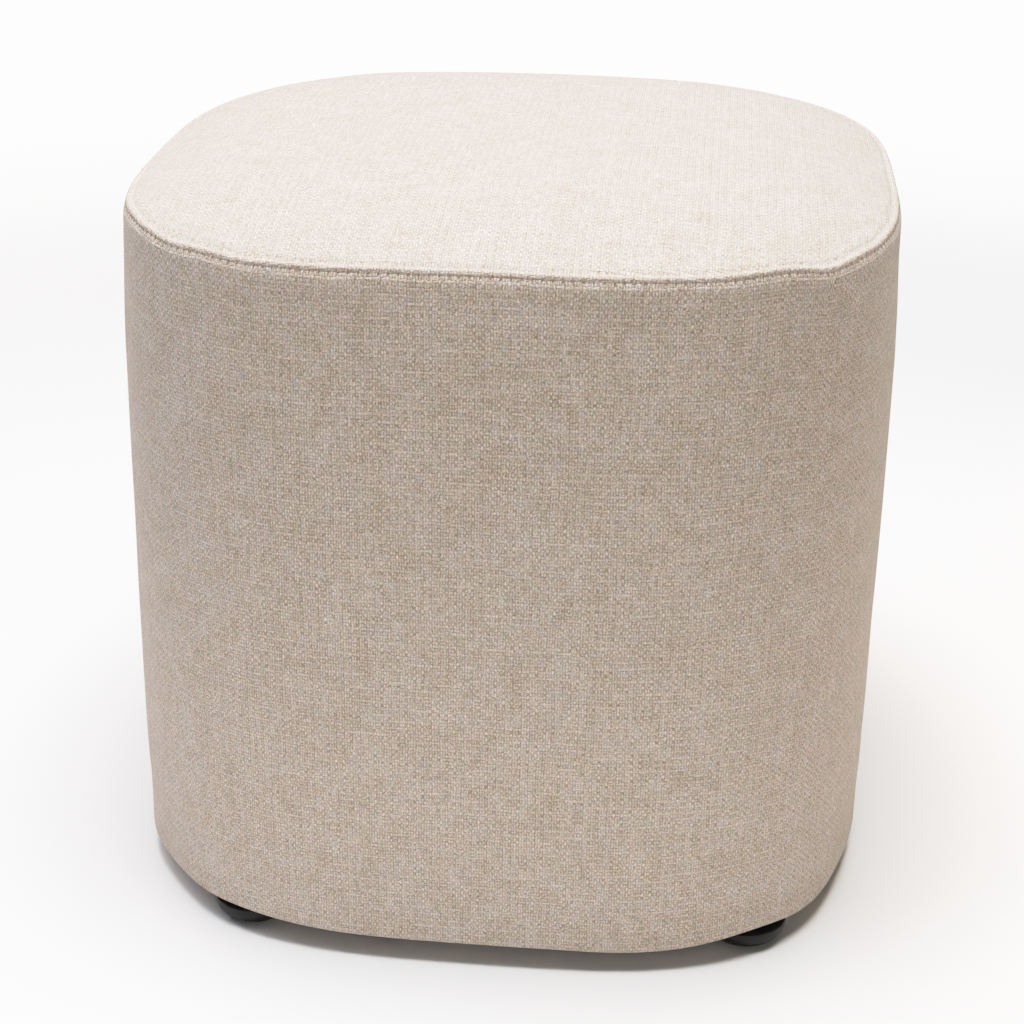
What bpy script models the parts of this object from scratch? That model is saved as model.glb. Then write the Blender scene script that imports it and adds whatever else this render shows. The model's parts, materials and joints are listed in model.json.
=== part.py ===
"""Cube pouf stool, in metres, +Z up.

It stands on z = 0 with its middle at x = y = 0 and its front towards -Y.
A filled side band and a crowned, filled top panel meet at a rolled seam. A flat
bottom panel closes the underside, and four domed glides carry the stool at its
corners.

Every outline is the same superellipse, |x|^n + |y|^n = h^n, moved inwards by an
inset. A piece is a loft through such rings, from its underside to its top.
"""

import bmesh
import bpy
import numpy as np

# Driving sizes
PLAN_WIDTH = 0.400
PLAN_EXPONENT = 3.12
RING_POINTS = 96
FIT_GAP = 0.0003

# Side band: from the hem, turned under at the bottom, to the top seam
HEM_HEIGHT = 0.012
BAND_HEIGHT = 0.3564
HEM_ROUNDING = 0.004
HEM_BORDER = 0.018
HEM_WANDER_REACH = 0.045
ARC_STEPS = 3

# Seam: both pieces roll into a crease here
SEAM_HEIGHT = HEM_HEIGHT + BAND_HEIGHT
SEAM_INSET = 0.0045
CREASE_DEPTH = 0.0025
BAND_ROLL = 0.0030
BAND_ROLL_INSET = 0.0035
PANEL_ROLL = 0.0025
HIDDEN_FACE_INSET = 0.020
HIDDEN_FACE_GAP = 0.0012

# Top panel
CROWN_HEIGHT = 0.0219
CROWN_POWER = 3.84
SEAM_RISE_FADE = 6.0
CROWN_STEPS = (0.015, 0.035, 0.06, 0.09, 0.13, 0.18, 0.24, 0.32, 0.42, 0.55, 0.72)

# Bottom panel
BOTTOM_THICKNESS = 0.0013
BOTTOM_RECESS = BOTTOM_THICKNESS + FIT_GAP
BOTTOM_SIDE_GAP = 0.0005

# Glides
GLIDE_RADIUS = 0.0219
GLIDE_FLAT_RADIUS = 0.0066
GLIDE_HEIGHT = HEM_HEIGHT - FIT_GAP
GLIDE_EDGE = 0.0012
GLIDE_ARC_STEPS = 8
GLIDE_SEGMENTS = 40
SCREW_MERGE = 0.00005

# The side band's fullness: how far its outline lies inside the plan at each depth below the seam
BAND_FULLNESS = (
    # depth, inset
    (0.290, 0.0000),
    (0.220, 0.0000),
    (0.150, 0.0002),
    (0.095, 0.0005),
    (0.060, 0.0011),
    (0.034, 0.0020),
    (0.016, 0.0029),
    (0.007, 0.0034),
)

# How the hand-sewn seam rises and falls round the stool (direction from the middle, 0 along +X)
SEAM_WANDER = (
    # direction, spread, rise
    (-145.0, 7.0, 0.0018),
    (-132.0, 3.5, -0.0010),
    (-121.0, 5.0, -0.0015),
    (-112.0, 6.0, -0.0010),
    (-90.0, 14.0, 0.0006),
    (-51.5, 5.0, 0.0013),
    (-46.0, 3.5, -0.0010),
    (-37.0, 5.0, 0.0005),
    (22.0, 10.0, 0.0006),
    (47.0, 5.0, -0.0010),
    (96.0, 15.0, 0.0006),
    (134.0, 6.0, -0.0012),
    (171.0, 12.0, 0.0005),
)

# How the hem rises, and tucks in under the stool
HEM_WANDER = (
    # direction, spread, rise, tuck
    (-150.0, 9.0, 0.0000, 0.0008),
    (-68.0, 7.0, -0.0011, 0.0000),
    (-54.0, 6.0, 0.0017, 0.0000),
    (-20.0, 14.0, 0.0000, 0.0012),
    (52.0, 9.0, 0.0009, 0.0006),
    (128.0, 9.0, 0.0006, 0.0008),
)

# Glides stand where a hand fitted them, close under the hem's corners
GLIDES = (
    # name, x, y
    ("glide_front_left", -0.1212, -0.1598),
    ("glide_front_right", 0.1376, -0.1508),
    ("glide_back_left", -0.1290, 0.1550),
    ("glide_back_right", 0.1290, 0.1550),
)

CLOTH_COLOUR = (0.50, 0.42, 0.34, 1.0)
CLOTH_ROUGHNESS = 0.90
BOTTOM_COLOUR = (0.020, 0.020, 0.022, 1.0)
BOTTOM_ROUGHNESS = 0.85
GLIDE_COLOUR = (0.012, 0.012, 0.013, 1.0)
GLIDE_ROUGHNESS = 0.45

SHARP_ANGLE = np.radians(35.0)
DIRECTIONS = np.linspace(0.0, 2.0 * np.pi, RING_POINTS, endpoint=False)


def clear_scene():
    """Remove every object of the start-up scene."""
    for obj in list(bpy.data.objects):
        bpy.data.objects.remove(obj, do_unlink=True)


def new_collection(name):
    """Return a new collection, linked to the scene."""
    collection = bpy.data.collections.new(name)
    bpy.context.scene.collection.children.link(collection)
    return collection


def new_material(name, colour, roughness):
    """Return a Principled material of one colour and roughness."""
    material = bpy.data.materials.new(name)
    material.use_nodes = True
    shader = material.node_tree.nodes["Principled BSDF"]
    shader.inputs["Base Color"].default_value = colour
    shader.inputs["Roughness"].default_value = roughness
    shader.inputs["Metallic"].default_value = 0.0
    return material


def wander(rows, column):
    """Return the sum over the rows of a bell of height row[column] about row[0] degrees, row[1] wide."""
    total = np.zeros(RING_POINTS)
    for row in rows:
        away = np.degrees(DIRECTIONS) - row[0]
        away = (away + 180.0) % 360.0 - 180.0
        total += row[column] * np.exp(-((away / row[1]) ** 2))
    return total


SEAM_RISE = wander(SEAM_WANDER, 2)
HEM_RISE = wander(HEM_WANDER, 2)
HEM_TUCK = wander(HEM_WANDER, 3)


def plan_ring(inset, height):
    """Return the plan's outline moved inwards by inset, at a height. Both may vary round the ring."""
    cos = np.cos(DIRECTIONS)
    sin = np.sin(DIRECTIONS)
    n = PLAN_EXPONENT
    radius = 0.5 * PLAN_WIDTH / (np.abs(cos) ** n + np.abs(sin) ** n) ** (1.0 / n)
    x = radius * cos
    y = radius * sin
    normal_x = np.sign(x) * np.abs(x) ** (n - 1.0)
    normal_y = np.sign(y) * np.abs(y) ** (n - 1.0)
    length = np.hypot(normal_x, normal_y)
    x = x - inset * normal_x / length
    y = y - inset * normal_y / length
    return np.column_stack([x, y, np.broadcast_to(height, RING_POINTS)])


def loft(name, rings, material, collection):
    """Skin the rings in order, close the first and last, and return the object."""
    shape = bmesh.new()
    rows = [[shape.verts.new(point) for point in ring] for ring in rings]
    for lower, upper in zip(rows, rows[1:]):
        for i in range(RING_POINTS):
            j = (i + 1) % RING_POINTS
            shape.faces.new((lower[i], lower[j], upper[j], upper[i]))
    shape.faces.new(rows[0][::-1])
    shape.faces.new(rows[-1])
    mesh = bpy.data.meshes.new(name)
    shape.to_mesh(mesh)
    shape.free()
    mesh.shade_smooth()
    mesh.set_sharp_from_angle(angle=SHARP_ANGLE)
    mesh.materials.append(material)
    obj = bpy.data.objects.new(name, mesh)
    collection.objects.link(obj)
    return obj


def quarter_turns():
    """Return the angles of an arc's inner points, without its two ends."""
    return np.linspace(0.0, 0.5 * np.pi, ARC_STEPS + 2)[1:-1]


def seam_faces(side):
    """Return the hidden face's outer and inner ring at the seam, on its upper side (1) or its lower side (-1)."""
    crease_height = SEAM_HEIGHT + SEAM_RISE + 0.5 * side * FIT_GAP
    crease = plan_ring(SEAM_INSET + CREASE_DEPTH, crease_height)
    inner_height = SEAM_HEIGHT + 0.5 * side * HIDDEN_FACE_GAP
    inner = plan_ring(SEAM_INSET + HIDDEN_FACE_INSET, inner_height)
    return crease, inner


def side_band_rings():
    """Return the side band's rings: recess, hem, side, roll into the seam, hidden top face."""
    rings = [
        plan_ring(HEM_BORDER, HEM_HEIGHT + BOTTOM_RECESS),
        plan_ring(HEM_BORDER, HEM_HEIGHT),
        plan_ring(HEM_ROUNDING + HEM_TUCK, HEM_HEIGHT + HEM_RISE),
    ]
    for turn in quarter_turns():
        inset = HEM_ROUNDING * (1.0 - np.sin(turn)) + HEM_TUCK
        height = HEM_HEIGHT + HEM_ROUNDING * (1.0 - np.cos(turn)) + HEM_RISE
        rings.append(plan_ring(inset, height))
    rings.append(plan_ring(HEM_TUCK, HEM_HEIGHT + HEM_ROUNDING + HEM_RISE))
    for depth, inset in BAND_FULLNESS:
        height = SEAM_HEIGHT - depth
        near_hem = np.exp(-(((height - HEM_HEIGHT) / HEM_WANDER_REACH) ** 2))
        near_seam = 1.0 - depth / BAND_HEIGHT
        rise = near_hem * HEM_RISE + near_seam * SEAM_RISE
        rings.append(plan_ring(inset + near_hem * HEM_TUCK, height + rise))
    roll_depth = SEAM_INSET + CREASE_DEPTH - BAND_ROLL_INSET
    for turn in quarter_turns():
        inset = BAND_ROLL_INSET + roll_depth * (1.0 - np.cos(turn))
        height = SEAM_HEIGHT - BAND_ROLL * (1.0 - np.sin(turn)) - 0.5 * FIT_GAP
        rings.append(plan_ring(inset, height + SEAM_RISE))
    rings.extend(seam_faces(-1))
    return rings


def top_panel_rings():
    """Return the top panel's rings: hidden underside, roll out of the seam, crown."""
    crease, inner = seam_faces(1)
    rings = [inner, crease]
    for turn in quarter_turns():
        inset = SEAM_INSET + CREASE_DEPTH * (1.0 - np.sin(turn))
        height = SEAM_HEIGHT + 0.5 * PANEL_ROLL * (1.0 - np.cos(turn)) + 0.5 * FIT_GAP
        rings.append(plan_ring(inset, height + SEAM_RISE))
    for turn in (0.0, *quarter_turns(), 0.5 * np.pi):
        inset = SEAM_INSET + PANEL_ROLL * (1.0 - np.cos(turn))
        height = SEAM_HEIGHT + 0.5 * PANEL_ROLL * (1.0 + np.sin(turn)) + 0.5 * FIT_GAP
        rings.append(plan_ring(inset, height + SEAM_RISE))
    edge = rings[-1]
    for share in CROWN_STEPS:
        rise = CROWN_HEIGHT * (1.0 - (1.0 - share) ** CROWN_POWER)
        wander_left = SEAM_RISE * (1.0 - share) ** SEAM_RISE_FADE
        height = SEAM_HEIGHT + PANEL_ROLL + rise + wander_left
        rings.append(np.column_stack([edge[:, :2] * (1.0 - share), height]))
    return rings


def bottom_panel_rings():
    """Return the bottom panel's two rings: a flat sheet inside the hem."""
    inset = HEM_BORDER + BOTTOM_SIDE_GAP
    return [plan_ring(inset, HEM_HEIGHT), plan_ring(inset, HEM_HEIGHT + BOTTOM_THICKNESS)]


def glide_mesh(material):
    """Return the glide's profile for the Screw: flat top, short edge, dome, flat foot."""
    dome_height = GLIDE_HEIGHT - GLIDE_EDGE
    points = [(0.0, GLIDE_HEIGHT), (GLIDE_RADIUS - 0.5 * GLIDE_EDGE, GLIDE_HEIGHT)]
    for turn in np.linspace(0.0, 0.5 * np.pi, GLIDE_ARC_STEPS):
        radius = GLIDE_FLAT_RADIUS + (GLIDE_RADIUS - GLIDE_FLAT_RADIUS) * np.cos(turn)
        points.append((radius, dome_height * (1.0 - np.sin(turn))))
    points.append((0.0, 0.0))
    mesh = bpy.data.meshes.new("glide")
    edges = [(i, i + 1) for i in range(len(points) - 1)]
    mesh.from_pydata([(x, 0.0, z) for x, z in points], edges, [])
    mesh.materials.append(material)
    return mesh


def add_glide(name, x, y, mesh, collection):
    """Turn the shared glide profile at its place under the hem."""
    obj = bpy.data.objects.new(name, mesh)
    obj.location = (x, y, 0.0)
    screw = obj.modifiers.new("turn", "SCREW")
    screw.axis = "Z"
    screw.steps = GLIDE_SEGMENTS
    screw.render_steps = GLIDE_SEGMENTS
    screw.use_merge_vertices = True
    screw.merge_threshold = SCREW_MERGE
    screw.use_smooth_shade = True
    collection.objects.link(obj)


def main():
    """Build the stool."""
    clear_scene()
    stool = new_collection("cube_pouf_stool")
    cloth = new_material("upholstery_cloth", CLOTH_COLOUR, CLOTH_ROUGHNESS)
    closing_cloth = new_material("closing_cloth", BOTTOM_COLOUR, BOTTOM_ROUGHNESS)
    plastic = new_material("glide_plastic", GLIDE_COLOUR, GLIDE_ROUGHNESS)
    loft("side_band", side_band_rings(), cloth, stool)
    loft("top_panel", top_panel_rings(), cloth, stool)
    loft("bottom_panel", bottom_panel_rings(), closing_cloth, stool)
    glide = glide_mesh(plastic)
    for name, x, y in GLIDES:
        add_glide(name, x, y, glide, stool)


main()
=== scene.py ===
"""The looks of a cube pouf stool: a rounded, upholstered cube on four domed glides.

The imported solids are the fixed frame. A fine side band and a fine top panel stand for the two
filled solids, a stretched closing cloth for the bottom panel, and turned domes for the glides.
The cover is first settled by a cloth simulation, and the band and the panel carry its shape.
Lengths are in metres, the floor is z = 0, and the stool's front is towards -Y.
"""

import json
import logging
from collections.abc import Sequence
from dataclasses import dataclass, field
from enum import Enum
from typing import Any, Union

import bpy
import numpy as np
from mathutils import Matrix, Vector

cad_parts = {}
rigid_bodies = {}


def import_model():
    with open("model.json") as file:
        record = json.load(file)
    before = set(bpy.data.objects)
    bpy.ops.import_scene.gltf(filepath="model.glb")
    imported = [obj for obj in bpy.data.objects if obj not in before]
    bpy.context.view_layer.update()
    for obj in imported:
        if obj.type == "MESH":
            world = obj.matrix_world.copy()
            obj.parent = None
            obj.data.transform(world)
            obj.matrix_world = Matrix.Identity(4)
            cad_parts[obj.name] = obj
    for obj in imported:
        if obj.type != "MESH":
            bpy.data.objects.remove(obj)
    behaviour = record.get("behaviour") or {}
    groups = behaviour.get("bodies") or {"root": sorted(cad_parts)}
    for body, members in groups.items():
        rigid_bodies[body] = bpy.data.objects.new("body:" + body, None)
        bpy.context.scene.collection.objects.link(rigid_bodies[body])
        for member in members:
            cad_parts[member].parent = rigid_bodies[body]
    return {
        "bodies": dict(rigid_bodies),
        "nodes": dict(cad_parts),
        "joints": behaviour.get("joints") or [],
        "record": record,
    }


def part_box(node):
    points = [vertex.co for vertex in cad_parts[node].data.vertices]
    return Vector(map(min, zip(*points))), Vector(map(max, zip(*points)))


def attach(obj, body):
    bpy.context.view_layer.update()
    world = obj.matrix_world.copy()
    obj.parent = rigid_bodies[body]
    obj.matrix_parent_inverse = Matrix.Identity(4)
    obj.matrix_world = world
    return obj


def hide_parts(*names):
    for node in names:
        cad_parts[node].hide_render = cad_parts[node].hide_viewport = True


LOG = logging.getLogger("pouf")
MM = 0.001
TURN = 2.0 * np.pi
WHITE = (1.0, 1.0, 1.0)

Array = np.ndarray
Socket = bpy.types.NodeSocket
Number = Union["Value", float]
Colour = tuple[float, float, float]


class Slot(Enum):
    """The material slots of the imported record."""

    UPHOLSTERY = "upholstery_cloth"
    CLOSING = "closing_cloth"
    GLIDE = "glide_plastic"


class Hold(Enum):
    """How a sheet of cloth is held."""

    STRETCHED = "stretched"


# ---------------------------------------------------------------------------------------------
# Node trees


class Value:
    """A number in a node tree. Python's operators on it add Math nodes."""

    def __init__(self, graph: "Graph", socket: Socket) -> None:
        """Wrap one socket of the graph."""
        self.graph = graph
        self.socket = socket

    def __add__(self, other: Number) -> "Value":
        """Return self + other."""
        return self.graph.maths("ADD", self, other)

    def __sub__(self, other: Number) -> "Value":
        """Return self - other."""
        return self.graph.maths("SUBTRACT", self, other)

    def __rsub__(self, other: Number) -> "Value":
        """Return other - self."""
        return self.graph.maths("SUBTRACT", other, self)

    def __mul__(self, other: Number) -> "Value":
        """Return self * other."""
        return self.graph.maths("MULTIPLY", self, other)

    def __truediv__(self, other: Number) -> "Value":
        """Return self / other."""
        return self.graph.maths("DIVIDE", self, other)

    def __mod__(self, other: Number) -> "Value":
        """Return self modulo other, never below zero."""
        return self.graph.maths("FLOORED_MODULO", self, other)

    def __pow__(self, other: Number) -> "Value":
        """Return self to the power of other."""
        return self.graph.maths("POWER", self, other)

    def __lt__(self, other: Number) -> "Value":
        """Return 1 where self is below other, and 0 elsewhere."""
        return self.graph.maths("LESS_THAN", self, other)

    __radd__ = __add__
    __rmul__ = __mul__

    def floor(self) -> "Value":
        """Return the whole number below."""
        return self.graph.maths("FLOOR", self)

    def size(self) -> "Value":
        """Return the number without its sign."""
        return self.graph.maths("ABSOLUTE", self)

    def cosine(self) -> "Value":
        """Return the cosine of an angle in radians."""
        return self.graph.maths("COSINE", self)

    def most(self, other: Number) -> "Value":
        """Return the larger of the two."""
        return self.graph.maths("MAXIMUM", self, other)

    def step(self, low: float, high: float) -> "Value":
        """Add a smooth step from 0 at low to 1 at high.

        Args:
            low: Where it leaves 0.
            high: Where it reaches 1.

        Returns:
            The step of this number.
        """
        node = self.graph.node(
            "ShaderNodeMapRange",
            {"interpolation_type": "SMOOTHSTEP"},
            {"Value": self, "From Min": low, "From Max": high},
        )
        return Value(self.graph, node.outputs[0])


class Graph:
    """The nodes of one material or world."""

    def __init__(self, tree: bpy.types.NodeTree) -> None:
        """Start with an empty tree."""
        self.tree = tree
        tree.nodes.clear()

    def node(
        self,
        kind: str,
        settings: dict[str, Any] | None = None,
        inputs: dict[str | int, Any] | None = None,
    ) -> bpy.types.Node:
        """Add one node.

        Args:
            kind: The node's type.
            settings: Its own properties, set first.
            inputs: The value of, or the link to, each of its sockets.

        Returns:
            The node.
        """
        made = self.tree.nodes.new(kind)
        for name, setting in (settings or {}).items():
            setattr(made, name, setting)
        for key, given in (inputs or {}).items():
            source = given.socket if isinstance(given, Value) else given
            if isinstance(source, Socket):
                self.tree.links.new(source, made.inputs[key])
            else:
                made.inputs[key].default_value = source
        return made

    def maths(self, operation: str, *given: Number) -> Value:
        """Return the result of a Math node on one or two numbers."""
        node = self.node("ShaderNodeMath", {"operation": operation}, dict(enumerate(given)))
        return Value(self, node.outputs[0])

    def vector(self, x: Number, y: Number, z: Number) -> Socket:
        """Return the vector (x, y, z)."""
        node = self.node("ShaderNodeCombineXYZ", inputs={0: x, 1: y, 2: z})
        return node.outputs[0]

    def noise(self, place: Socket, scale: float, detail: float) -> Value:
        """Add smooth noise about one half.

        Args:
            place: Where it is read.
            scale: What the place is multiplied by.
            detail: How many finer layers it has.

        Returns:
            The noise.
        """
        node = self.node(
            "ShaderNodeTexNoise",
            {"noise_dimensions": "3D"},
            {"Vector": place, "Scale": scale, "Detail": detail},
        )
        return Value(self, node.outputs[0])

    def white(self, place: Socket) -> Value:
        """Return a random number from 0 to 1 for each place."""
        node = self.node("ShaderNodeTexWhiteNoise", {"noise_dimensions": "3D"}, {"Vector": place})
        return Value(self, node.outputs[0])

    def mix(self, share: Number, first: Any, second: Any, mode: str = "MIX") -> Socket:
        """Add a mix of two colours.

        Args:
            share: 0 gives the first colour, 1 the blend with the second.
            first: The first colour.
            second: The second colour.
            mode: How the second is blended in.

        Returns:
            The mixed colour.
        """
        node = self.node(
            "ShaderNodeMix",
            {"data_type": "RGBA", "blend_type": mode},
            {0: share, 6: first, 7: second},
        )
        return node.outputs[2]

    def flat_map(self) -> tuple[Value, Value]:
        """Add the piece's own UV map.

        Returns:
            Its two numbers, in millimetres of flat cloth or thread.
        """
        place = self.node("ShaderNodeUVMap", {"uv_map": SkinMesh.MAP}).outputs[0]
        parts = self.node("ShaderNodeSeparateXYZ", inputs={0: place})
        return Value(self, parts.outputs[0]) / MM, Value(self, parts.outputs[1]) / MM

    def object_place(self) -> Socket:
        """Return Object coordinates, in metres."""
        return self.node("ShaderNodeTexCoord").outputs["Object"]

    def bump(self, height: Value, depth: float, strength: float = 1.0) -> Socket:
        """Add relief.

        Args:
            height: The height, in shares of the depth.
            depth: The depth, in metres.
            strength: How much of it shows.

        Returns:
            The normal of the surface.
        """
        node = self.node(
            "ShaderNodeBump", inputs={"Height": height, "Distance": depth, "Strength": strength}
        )
        return node.outputs[0]

    def surface(self, inputs: dict[str | int, Any]) -> None:
        """End the tree in a Principled shader with these sockets."""
        shader = self.node("ShaderNodeBsdfPrincipled", inputs=inputs)
        self.node("ShaderNodeOutputMaterial", inputs={0: shader.outputs[0]})


def opaque(colour: Colour) -> tuple[float, float, float, float]:
    """Return the colour with full alpha."""
    return (*colour, 1.0)


# ---------------------------------------------------------------------------------------------
# Finishes


@dataclass(frozen=True)
class Finish:
    """The look of one kind of surface."""

    def paint(self, graph: Graph) -> None:
        """Fill a material's empty tree."""
        raise NotImplementedError

    def material(self, name: str) -> bpy.types.Material:
        """Make a new material with this look.

        Args:
            name: Its name.

        Returns:
            The material.
        """
        made = bpy.data.materials.new(name)
        made.use_nodes = True
        self.paint(Graph(made.node_tree))
        return made


@dataclass(frozen=True)
class Chance:
    """Smooth noise over flat cloth: its plane in space, its scale a millimetre and its detail."""

    plane: float
    scale: float
    detail: float

    def share(self, graph: Graph, x: Number, y: Number) -> Value:
        """Return the noise at a place, from 0 to 1."""
        return graph.noise(graph.vector(x, y, self.plane), self.scale, self.detail)

    def about_zero(self, graph: Graph, x: Number, y: Number) -> Value:
        """Return the noise at a place, from -0.5 to 0.5."""
        return self.share(graph, x, y) - 0.5


@dataclass(frozen=True)
class WovenCloth(Finish):
    """Melange upholstery cloth. A repeat is three warp yarns wide and two picks high.

    One yarn in three floats over the odd picks, and the pair beside it over the even ones. A gap
    runs down one side of the single yarn, and each yarn changes its tone along its length.
    """

    # The yarns' repeat, and in millimetres their size and how far they drift and wobble.
    repeat: float = 3.0
    yarn_width: float = 1.317
    pick_height: float = 1.78
    drift: tuple[float, float] = (2.0, 2.2)
    wobble: tuple[float, float] = (1.05, 1.3)
    # The noises, each on a plane of its own, and what sets one yarn's noise apart from the next's.
    drift_across: Chance = Chance(3.0, 0.03, 2.0)
    drift_along: Chance = Chance(40.0, 0.04, 2.0)
    wobble_across: Chance = Chance(80.0, 0.5, 1.5)
    wobble_along: Chance = Chance(120.0, 0.5, 1.5)
    gap_length: Chance = Chance(60.0, 0.11, 1.0)
    fibres: Chance = Chance(90.0, 1.0, 2.5)
    warp_runs: Chance = Chance(5.0, 0.12, 1.0)
    weft_runs: Chance = Chance(45.0, 0.11, 1.0)
    blotches: Chance = Chance(150.0, 0.055, 2.0)
    reds: Chance = Chance(190.0, 0.22, 2.0)
    blues: Chance = Chance(230.0, 0.22, 2.0)
    cell_plane: float = 7.0
    warp_step: float = 3.71
    weft_step: float = 4.13
    gap_step: float = 5.3
    # The weave's relief, raised by bump and also painted into the tone as shade: where each yarn shows,
    # how high its back stands, and the gaps.
    over_edge: tuple[float, float] = (0.2, 0.8)
    shown_edge: tuple[float, float] = (-0.1, 0.1)
    gap_edge: tuple[float, float] = (0.25, 0.7)
    single_back: float = 0.15
    pair_back: float = 0.85
    pair_weft: float = 0.60
    single_weft: float = 0.30
    gap_width: float = 0.25
    gap_depth: float = 0.85
    # The colours, how their hue drifts and fades, and how much each part adds to the tone. The weave's
    # height adds painted shade, darker in its hollows and gaps.
    pale: Colour = (0.815, 0.710, 0.612)
    dark: Colour = (0.285, 0.219, 0.161)
    red_drift: float = 0.27
    blue_drift: float = 0.34
    red_bleach: float = 0.08
    blue_bleach: float = 0.20
    blotch_bleach: float = 0.6
    mean_tone: float = 0.43
    mean_height: float = 0.45
    relief_shade_contrast: float = 0.64
    cell_contrast: float = 0.18
    fibre_contrast: float = 1.65
    run_contrast: float = 0.58
    blotch_contrast: float = 0.18
    roughness: float = 0.92
    sheen: float = 0.15
    sheen_roughness: float = 0.5
    relief: float = 0.4 * MM
    fibre_relief: float = 0.35

    def _height(self, graph: Graph, flat_y: Value, yarn: Value, pick: Value) -> tuple[Value, Value]:
        """Build the weave's height and where its warp shows.

        The warp's height is a round back across each yarn times its float, (1 + cos(pi * pick)) / 2
        for the single yarn and the other half turn for the pair. The weft's is a round back across
        each pick where the warp lies under it. The higher of the two shows.

        Args:
            graph: The material's tree.
            flat_y: The place along the warp, in millimetres.
            yarn: The place across the warp, in yarns.
            pick: The place along the warp, in picks.

        Returns:
            The height, from 0 to 1, and 1 where the warp shows.
        """
        yarn_id = yarn.floor()
        across = yarn - yarn_id - 0.5
        along = pick - (pick + 0.5).floor()
        single = (yarn_id % self.repeat) < 0.5
        float_side = single * 2.0 - 1.0
        over = ((pick * np.pi).cosine() * float_side * 0.5 + 0.5).step(*self.over_edge)
        warp_back = 1.0 - (across * 2.0) ** 2.0
        weft_back = 1.0 - (along * 2.0) ** 2.0
        warp = warp_back * over * (single * self.single_back + self.pair_back)
        weft = weft_back * (1.0 - over) * (self.pair_weft - single * self.single_weft)
        gap = 1.0 - ((yarn % self.repeat) - 1.0).size().step(0.0, self.gap_width)
        gap_yarn = (yarn / self.repeat + 0.5).floor() * self.gap_step
        gap_share = self.gap_length.share(graph, gap_yarn, flat_y).step(*self.gap_edge)
        height = warp.most(weft) * (1.0 - gap * gap_share * self.gap_depth)
        return height, (warp - weft).step(*self.shown_edge)

    def paint(self, graph: Graph) -> None:
        """Build the cloth on the piece's UV map, in which one unit is one metre of cloth.

        The tone runs from the dark yarn to the pale one. It is a sum of the weave's height, which is
        painted shade that darkens the hollows and gaps of the weave, each crossing's own tone, the
        fibres, the yarns' runs and the blotches, each times its contrast.

        Args:
            graph: The material's tree.
        """
        flat_x, flat_y = graph.flat_map()
        drift_x = self.drift_across.about_zero(graph, flat_x, flat_y) * self.drift[0]
        drift_y = self.drift_along.about_zero(graph, flat_x, flat_y) * self.drift[1]
        wobble_x = self.wobble_across.about_zero(graph, flat_x, flat_y) * self.wobble[0]
        wobble_y = self.wobble_along.about_zero(graph, flat_x, flat_y) * self.wobble[1]
        yarn = (flat_x + drift_x + wobble_x) / self.yarn_width
        pick = (flat_y + drift_y + wobble_y) / self.pick_height
        yarn_id = yarn.floor()
        pick_id = (pick + 0.5).floor()
        height, shows_warp = self._height(graph, flat_y, yarn, pick)

        cell = graph.white(graph.vector(yarn_id, pick_id, self.cell_plane)) - 0.5
        fibre = self.fibres.about_zero(graph, flat_x, flat_y)
        warp_run = self.warp_runs.about_zero(graph, yarn_id * self.warp_step, flat_y)
        weft_run = self.weft_runs.about_zero(graph, flat_x, pick_id * self.weft_step)
        run = warp_run * shows_warp + weft_run * (1.0 - shows_warp)
        blotch = self.blotches.about_zero(graph, flat_x, flat_y)
        # The weave's height darkens the tone in its hollows and gaps: painted shade.
        tone = (
            (height - self.mean_height) * self.relief_shade_contrast
            + cell * self.cell_contrast
            + fibre * self.fibre_contrast
            + run * self.run_contrast
            + blotch * self.blotch_contrast
            + self.mean_tone
        )

        yarns = graph.mix(tone, opaque(self.dark), opaque(self.pale))
        red = self.reds.about_zero(graph, flat_x, flat_y) * self.red_drift
        blue = self.blues.about_zero(graph, flat_x, flat_y) * self.blue_drift
        bleach = run + blotch * self.blotch_bleach
        tint = graph.vector(
            red - bleach * self.red_bleach + 1.0, 1.0, blue + bleach * self.blue_bleach + 1.0
        )
        graph.surface(
            {
                "Base Color": graph.mix(1.0, yarns, tint, "MULTIPLY"),
                "Roughness": self.roughness,
                "Sheen Weight": self.sheen,
                "Sheen Roughness": self.sheen_roughness,
                "Normal": graph.bump(height + fibre * self.fibre_relief, self.relief),
            }
        )


@dataclass(frozen=True)
class ClosingCloth(Finish):
    """Thin black non-woven cloth of laid fibres, with a faint pressed grid of dots."""

    colour: Colour = (0.020, 0.020, 0.022)
    fibre_colour: Colour = (0.055, 0.055, 0.058)
    dot_pitch: float = 2.4
    along: float = 0.25
    across: float = 2.5
    one_lay: Chance = Chance(1.0, 1.0, 2.0)
    other_lay: Chance = Chance(9.0, 1.0, 2.0)
    fibre_edge: tuple[float, float] = (0.52, 0.72)
    dot_edge: tuple[float, float] = (0.05, 0.3)
    roughness: float = 0.82
    pressed_shine: float = 0.2
    pressed_depth: float = 0.8
    relief: float = 0.2 * MM
    relief_strength: float = 0.8

    def paint(self, graph: Graph) -> None:
        """Build the cloth from stretched noise, laid two ways, and a grid of pressed dots.

        Args:
            graph: The material's tree.
        """
        x, y = graph.flat_map()
        one_way = self.one_lay.share(graph, x * self.along, y * self.across)
        other_way = self.other_lay.share(graph, x * self.across, y * self.along)
        fibres = one_way.most(other_way).step(*self.fibre_edge)
        dot_x = ((x / self.dot_pitch) % 1.0 - 0.5) * 2.0
        dot_y = ((y / self.dot_pitch) % 1.0 - 0.5) * 2.0
        dots = 1.0 - (dot_x * dot_x + dot_y * dot_y).step(*self.dot_edge)
        graph.surface(
            {
                "Base Color": graph.mix(fibres, opaque(self.colour), opaque(self.fibre_colour)),
                "Roughness": self.roughness - dots * self.pressed_shine,
                "Normal": graph.bump(
                    fibres - dots * self.pressed_depth, self.relief, self.relief_strength
                ),
            }
        )


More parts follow.
